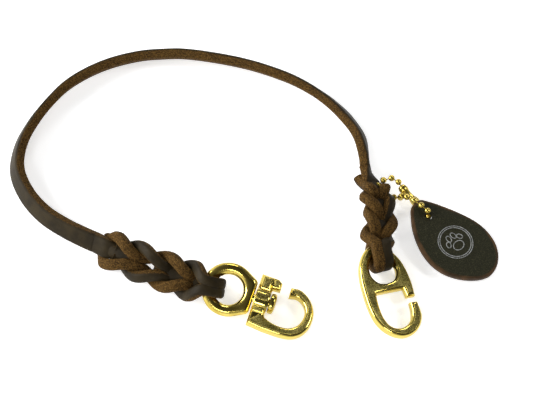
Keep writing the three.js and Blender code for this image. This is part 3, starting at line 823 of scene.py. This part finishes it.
bpy.ops.mesh.primitive_torus_add(major_radius=EYE_RADIUS / 1000, minor_radius=EYE_BAR / 1000,
                                 major_segments=180, minor_segments=48)
eye_piece = bpy.context.object
for vert in eye_piece.data.vertices:
    angle = math.atan2(vert.co.y, vert.co.x)
    out = (math.hypot(vert.co.x, vert.co.y) * 1000 - EYE_RADIUS) / EYE_BAR
    full = min(max((BOSS_START - abs(angle)) / BOSS_EASE, 0), 1)
    if out > 0:
        nearby = [outer_reach(angle + step * CORNER_BLEND) for step in (-2, -1, 0, 1, 2)]
        reach = sum(nearby) / len(nearby)
        distance = (EYE_RADIUS + (reach - EYE_RADIUS) * out ** (1 - BOSS_SQUARE * full)) / 1000
        vert.co.x = distance * math.cos(angle)
        vert.co.y = distance * math.sin(angle)
clean(eye_piece)
eye_piece.name = "swivel_ring"
cut(eye_piece, lathe("bore", [
    (BORE_START, 0), (BORE_START, BORE_RADIUS), (BORE_END, BORE_RADIUS), (BORE_END, 0),
]))
settle(eye_piece, eye_centre, pin_axis, eye_normal, polished.material, 50)
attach(eye_piece, "eye")
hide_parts("swivel_eye")

# ---------------------------------------------------------------------------------------
# Swivel pin: turned from brass bar, with a domed head that lies inside the hook. Its shank is
# pressed into the eye's boss, and the hook turns freely about it.

PIN_START = 8.9
PIN_RADIUS = 2
HEAD_START = 20.2
HEAD_RADIUS = 4.9
pin_piece = lathe("swivel_rivet", [
    (PIN_START, 0), (PIN_START, PIN_RADIUS), (HEAD_START, PIN_RADIUS), (HEAD_START, 4.3),
    (20.5, 4.75), (20.9, HEAD_RADIUS), (22, HEAD_RADIUS),
    (22.5, 4.75), (22.9, 4.3), (23.2, 3.2), (23.35, 1.8), (23.4, 0),
])
settle(pin_piece, eye_centre, pin_axis, eye_normal, polished.material)
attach(pin_piece, "eye")
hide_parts("swivel_pin")

# ---------------------------------------------------------------------------------------
# Hook: cast brass plate with a raised barrel that turns on the pin. Its edges are polished,
# and its flat faces keep the grain of the casting, with their colour painted darker as shade.

PLATE_THICK = 5.4
PLATE_EDGE = 1.8
BACK = 12.9
BARREL_RADIUS = 5.6
BARREL_HIGH = 5.1
METAL_CREASE = 28
hook_z = Vector(mounts["hook_face"]["axis"]).normalized()
hook_outline = through(
    (BACK, -13.9), (BACK + 8, -14.7),
    [(BACK + 16.7, -14.7), (BACK + 21.8, -13.8), (BACK + 25.8, -11.2), (BACK + 28.4, -6.9),
     (BACK + 29, -0.5), (BACK + 27.3, 4.6), (BACK + 23.5, 8.8), (BACK + 19, 10.8), (BACK + 14.9, 10.3)],
    (BACK + 15.1, 5.4),
    [(BACK + 19.3, 6.1), (BACK + 22.7, 4), (BACK + 24.5, 0.6), (BACK + 24.2, -4), (BACK + 22.7, -7.1),
     (BACK + 19.5, -9.5), (BACK + 15.3, -10.1), (BACK + 11.3, -9.6), (BACK + 7.6, -8.4)],
    (BACK + 7, -7.8), (BACK + 7, 6.8), (BACK + 10.6, 7), (BACK + 10.6, 10.8),
    (BACK + 8.6, 12.4), (BACK, 12.7),
)
hook_piece = plate("hook_body", [hook_outline], PLATE_THICK, PLATE_EDGE)
barrel = lathe("barrel", [
    (BACK, 0), (BACK, 4.9), (BACK + 0.15, 5.3), (BACK + 0.5, 5.55), (BACK + 0.9, BARREL_RADIUS),
    (BACK + 6.1, BARREL_RADIUS),
    (BACK + 6.5, 5.55), (BACK + 6.85, 5.3), (BACK + 7, 4.9), (BACK + 7, 0),
])
barrel.data.transform(Matrix.Diagonal((1, 1, BARREL_HIGH / BARREL_RADIUS, 1)))
for low, high, ledge_thick, ledge_edge in ((-7.9, -4, 7, 1.7), (4.2, 12.4, 6.6, 2.4)):
    line = through((BACK + 0.35, low), (BACK + 6.75, low), (BACK + 6.75, high), (BACK + 0.35, high))
    cut(hook_piece, plate("ledge", [line], ledge_thick, ledge_edge), "UNION")
cut(hook_piece, barrel, "UNION")
cut(hook_piece, lathe("bore", [
    (BACK - 2, 0), (BACK - 2, BORE_RADIUS), (BACK + 9, BORE_RADIUS), (BACK + 9, 0),
]))
settle(hook_piece, eye_centre, pin_axis, hook_z, cast.material, METAL_CREASE)
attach(hook_piece, "hook")
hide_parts("hook")

# ---------------------------------------------------------------------------------------
# Fixed clip: one flat brass casting with an eye for the leather, a crossbar and an open hook.
# The right braid's fold goes round the bar of its eye. Its edges are polished, and its faces
# keep the grain of the casting, with their colour painted darker as shade.

clip_centre = right_bar - clip_x * CLIP_BAR_X
clip_outline = through(
    (6.3, 11.5),
    [(0, 11.9), (-7, 11.4), (-12.8, 10), (-18, 7), (-21.3, 3.6), (-22.3, 0), (-21.5, -4), (-18.5, -7.6),
     (-13.2, -10.7), (-7, -12.2), (0, -12.7), (9, -12.5), (15.3, -11.1), (20.3, -8.2), (23.8, -3.8),
     (25, 0.6), (24, 5.4), (21, 9.2), (16.6, 11.5), (9.2, 11.6)],
    (9.2, 7.6),
    [(13, 7.3), (17.4, 5.6), (20, 2.2), (20.3, -1.8), (18.4, -5), (14, -6.9), (8, -7.3), (3.2, -7)],
    (2, -6.5), (2, 6.8), (6.3, 7.1),
)
clip_eye = through(
    (-2.2, 0),
    [(-3.2, 3.8), (-7, 6.3), (-12, 6), (-15.8, 3.4), (-17.2, 0), (-15.8, -3.4), (-12, -6), (-7, -6.3),
     (-3.2, -3.8), (-2.2, -0.4)],
)
clip_piece = plate("clip_body", [clip_outline, clip_eye], PLATE_THICK, PLATE_EDGE)
settle(clip_piece, clip_centre, clip_x, clip_z, cast.material, METAL_CREASE)
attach(clip_piece, "clip")
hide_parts("fixed_clip")

# ---------------------------------------------------------------------------------------
# Ball chain: hollow brass balls rolled from strip, 3.2 mm across, with a mouth at each end.
# A short headed link joins each two. It hangs in a loop round one strand of the braid, in a
# channel that it has pressed between the strands.

BALL = 1.6
BALL_ARC = 68  # the ball's own curve reaches this many degrees to each side of its middle
BALL_PARTS = 12
MOUTH_OUT = 1.45
MOUTH_IN = 1.2
CHANNEL = 2.1
LINK_SHORT = 0.6
LINK_HEAD = 0.5
LINK_WAIST = 0.3
CHAIN_BRIGHT = (0.66, 0.50, 0.11, 1)
CHAIN_DULL = (0.36, 0.26, 0.045, 1)


def node_middle(name):
    low, high = (Vector(corner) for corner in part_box(name))
    return (low + high) * 500


def laid_along(obj, origin, x, material):
    settle(obj, origin, x, x.orthogonal().normalized(), material)


chain_brass = Surface("chain_brass", Metallic=1.0)
dull = chain_brass.noise(420, 3)
worn_brass = chain_brass.ramp(dull, 0.35, 0.7)
chain_brass.put("Base Color", chain_brass.mix(worn_brass, CHAIN_BRIGHT, CHAIN_DULL))
chain_brass.put("Roughness", 0.2 + dull * 0.16)

beads = sorted(name for name in frame["nodes"] if name.startswith("bead_"))
links = sorted(name for name in frame["nodes"] if name.startswith("link_"))
middles = [node_middle(name) for name in beads]

channel_curve = bpy.data.curves.new("channel", "CURVE")
channel_curve.dimensions = "3D"
channel_curve.bevel_depth = CHANNEL / 1000
channel_curve.bevel_resolution = 2
channel_curve.use_fill_caps = True
channel_line = channel_curve.splines.new("POLY")
channel_line.points.add(len(middles) - 1)
for point, place in zip(channel_line.points, middles):
    point.co = (*place / 1000, 1)
channel = bpy.data.objects.new("channel", channel_curve)
bpy.context.collection.objects.link(channel)
only(channel)
bpy.ops.object.convert(target="MESH")
channel = bpy.context.object
clean(channel)
edit(right_piece)
bpy.ops.mesh.separate(type="LOOSE")
bpy.ops.object.mode_set(mode="OBJECT")
strands = sorted(bpy.context.selected_objects, key=lambda strand: strand.name)
for strand in strands:
    modify(strand, "BOOLEAN", operation="DIFFERENCE", object=channel, solver="EXACT")
bpy.data.objects.remove(channel)
joined(right_piece, *[strand for strand in strands if strand != right_piece])
bpy.ops.object.shade_smooth_by_angle(angle=LEATHER_CREASE)

ball_profile = [(-MOUTH_IN, 0.32), (-MOUTH_OUT, 0.36)]
for i in range(BALL_PARTS + 1):
    angle = math.radians(-BALL_ARC + 2 * BALL_ARC * i / BALL_PARTS)
    ball_profile.append((BALL * math.sin(angle), BALL * math.cos(angle)))
ball_profile += [(MOUTH_OUT, 0.36), (MOUTH_IN, 0.32), (-MOUTH_IN, 0.32)]
ball = lathe("ball", ball_profile, 28)
for index, name in enumerate(beads):
    before = middles[max(index - 1, 0)]
    after = middles[min(index + 1, len(beads) - 1)]
    piece = bpy.data.objects.new(name.replace("bead", "ball"), ball.data.copy())
    bpy.context.collection.objects.link(piece)
    laid_along(piece, middles[index], (after - before).normalized(), chain_brass.material)
    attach(piece, "chain")
    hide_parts(name)
bpy.data.objects.remove(ball)

for index, name in enumerate(links):
    span = middles[index + 1] - middles[index]
    half = span.length / 2 - LINK_SHORT
    piece = lathe(name.replace("link", "dumbbell"), [
        (-half, 0), (-half, LINK_HEAD), (-half + 0.35, LINK_HEAD), (-half + 0.5, LINK_WAIST),
        (half - 0.5, LINK_WAIST), (half - 0.35, LINK_HEAD), (half, LINK_HEAD), (half, 0),
    ], 16)
    laid_along(piece, (middles[index] + middles[index + 1]) / 2, span.normalized(), chain_brass.material)
    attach(piece, "chain")
    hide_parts(name)

# ---------------------------------------------------------------------------------------
# Connector: a sleeve of thin brass sheet bent round the chain's two end balls, waisted
# between them and open along one side.

CLASP_WALL = 0.0003
CLASP_STEPS = 56
CLASP_BENT = 344  # degrees that the sheet is bent round through
connector_piece = lathe("chain_clasp", [
    (-6.4, 1.25), (-6.15, 1.6), (-5.7, 1.9), (-5, 2.15), (-4.3, 2.25), (-3.5, 2.22), (-2.6, 1.95),
    (-1.8, 1.68), (-1, 1.56), (0, 1.54), (1, 1.56), (1.8, 1.68), (2.6, 1.95), (3.5, 2.22),
    (4.3, 2.25), (5, 2.15), (5.7, 1.9), (6.15, 1.6), (6.4, 1.25),
], CLASP_STEPS, CLASP_BENT)
modify(connector_piece, "SOLIDIFY", thickness=CLASP_WALL, offset=-1)
connector_way = (middles[0] - middles[-1]).normalized()
laid_along(connector_piece, node_middle("chain_connector"), connector_way, chain_brass.material)
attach(connector_piece, "chain")
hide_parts("chain_connector")

# ---------------------------------------------------------------------------------------
# Fob: egg-shaped tab of thick dark leather, blanked with a die, its edge burnished brown,
# with a punched hole near its narrow end.

FOB_THICK = 3.6
FOB_HOLE_X = 11.5
FOB_HOLE_RADIUS = 2.15
FOB_RIM = 2.2  # the edge is burnished this far in
RIM_DARK = (0.030, 0.016, 0.006, 1)
RIM_LIGHT = (0.095, 0.050, 0.020, 1)
hole = joint_place("fob_turn")
fob_z = Vector(mounts["fob_face"]["axis"]).normalized()
to_face = Vector(mounts["fob_face"]["pos_m"]) * 1000 - hole - fob_z * FOB_THICK / 2
fob_x = to_face.normalized()
fob_tip = hole - fob_x * FOB_HOLE_X

egg = through(
    (2, 0),
    [(3, -3.6), (5.6, -6.2), (10, -9.8), (15, -12.8), (20, -15), (25, -16.4), (31, -16.9), (37, -15.8),
     (42.2, -13.2), (46.5, -9.8), (49.8, -6), (51.9, -2.4), (52.9, 0.6)],
    [(52.7, 3.8), (51.2, 7.8), (47.7, 12), (43, 14.9), (37, 16.4), (31, 16.3), (25, 14.8), (20, 12.8),
     (15, 10.5), (10, 7.9), (5.6, 5.2), (3, 3.2), (2, 0)],
)[:-1]
fob_rings = [(FOB_RIM, -1.8), (1.1, -1.8), (0.35, -1.55), (0.05, -1.1), (0, 0), (0.05, 1.1),
             (0.35, 1.55), (1.1, 1.78), (FOB_RIM, 1.8)]
fob_verts = []
fob_rim = []
for inset, height in fob_rings:
    for i, point in enumerate(egg):
        run = (egg[(i + 1) % len(egg)] - egg[i - 1]).normalized()
        inward = Vector((-run.y, run.x, 0))
        fob_verts.append((point + inward * inset + Vector((0, 0, height))) / 1000)
        fob_rim.append(min(max(1.25 - inset / FOB_RIM, 0), 1))
fob_faces = []
count = len(egg)
for ring in range(len(fob_rings) - 1):
    for i in range(count):
        a = ring * count + i
        b = ring * count + (i + 1) % count
        fob_faces.append((a, b, b + count, a + count))
fob_faces.append(tuple(reversed(range(count))))
fob_faces.append(tuple(range(len(fob_verts) - count, len(fob_verts))))
fob_mesh = bpy.data.meshes.new("leather_fob")
fob_mesh.from_pydata(fob_verts, [], fob_faces)
fob_mesh.attributes.new("rim", "FLOAT", "POINT").data.foreach_set("value", fob_rim)
fob_piece = bpy.data.objects.new("leather_fob", fob_mesh)
bpy.context.collection.objects.link(fob_piece)
punch = lathe("punch", [(-4, 0), (-4, FOB_HOLE_RADIUS), (4, FOB_HOLE_RADIUS), (4, 0)], 48)
punch.data.transform(Matrix.Translation((FOB_HOLE_X / 1000, 0, 0)) @ Matrix.Rotation(math.pi / 2, 4, "Y"))
cut(fob_piece, punch)

fob_leather = Surface("fob_leather", Specular_IOR_Level=0.15)
pebbles = fob_leather.noise(2400, 3, rough=0.6)
clouds = fob_leather.noise(120, 3)
rim = fob_leather.ramp(fob_leather.attribute("rim") + clouds * 0.5, 0.7, 1.15)
specks = fob_leather.ramp(pebbles, 0.5, 0.72)
face_tone = fob_leather.mix(specks, (0.014, 0.0138, 0.0055, 1), (0.058, 0.056, 0.027, 1))
rim_tone = fob_leather.mix(fob_leather.ramp(clouds, 0.3, 0.7), RIM_DARK, RIM_LIGHT)
fob_leather.put("Base Color", fob_leather.mix(rim, face_tone, rim_tone))
fob_leather.put("Roughness", 0.42 + pebbles * 0.25)
fob_leather.bump(pebbles, 0.0003, 0.7)
settle(fob_piece, fob_tip, fob_x, fob_z, fob_leather.material)
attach(fob_piece, "fob")
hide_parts("fob")

# ---------------------------------------------------------------------------------------
# Mark on the fob: a plain paw in a double ring, printed in thin lines of grey ink on the
# fob's front. The ink is worn, so that it is paler in some places than in others.

MARK_X = 30
MARK_LINE = 0.2
mark_curves = []


def mark_loop(x, y, wide, deep, turn=0):
    bpy.ops.object.select_all(action="DESELECT")
    bpy.ops.curve.primitive_bezier_circle_add(radius=0.001)
    loop = bpy.context.object
    shape = Matrix.Rotation(math.radians(turn), 4, "Z") @ Matrix.Diagonal((wide, deep, 1, 1))
    loop.data.transform(Matrix.Translation(((MARK_X + x) / 1000, y / 1000, (FOB_THICK / 2) / 1000)) @ shape)
    for point in loop.data.splines[0].bezier_points:
        point.radius = 1
    loop.data.bevel_depth = MARK_LINE / 1000
    loop.data.bevel_resolution = 2
    loop.data.resolution_u = 16
    only(loop)
    bpy.ops.object.convert(target="MESH")
    mark_curves.append(bpy.context.object)


for ring_radius in (8.5, 7.6):
    mark_loop(0, 0, ring_radius, ring_radius)
mark_loop(2.2, 0, 2.2, 2.9)
for side in (1, -1):
    mark_loop(-0.9, side * 3.7, 1.5, 1.1, side * 30)
    mark_loop(-3.1, side * 1.5, 1.7, 1.1, side * 8)
mark_piece = joined(*mark_curves)
mark_piece.name = "fob_mark"
ink = Surface("grey_ink")
worn = ink.noise(1300, 3)
ink.put("Base Color", ink.mix(ink.ramp(worn, 0.35, 0.65), (0.12, 0.125, 0.12, 1), (0.34, 0.35, 0.34, 1)))
ink.put("Roughness", 0.45 + worn * 0.2)
settle(mark_piece, fob_tip, fob_x, fob_z, ink.material)
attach(mark_piece, "fob")

# ---------------------------------------------------------------------------------------
# Floor's finish: a sheet of matt white card, faintly uneven, that the lead lies on. It gives
# off a little light of its own, which keeps it pale right to its edges.

card = Surface("white_card", Specular_IOR_Level=0.2, Emission_Color=(1, 1, 1, 1), Emission_Strength=0.55)
fleck = card.noise(30, 2)
card.put("Base Color", card.mix(fleck, (0.93, 0.93, 0.93, 1), (0.96, 0.96, 0.96, 1)))
card.put("Roughness", 0.7 + fleck * 0.1)
floor.data.materials.append(card.material)
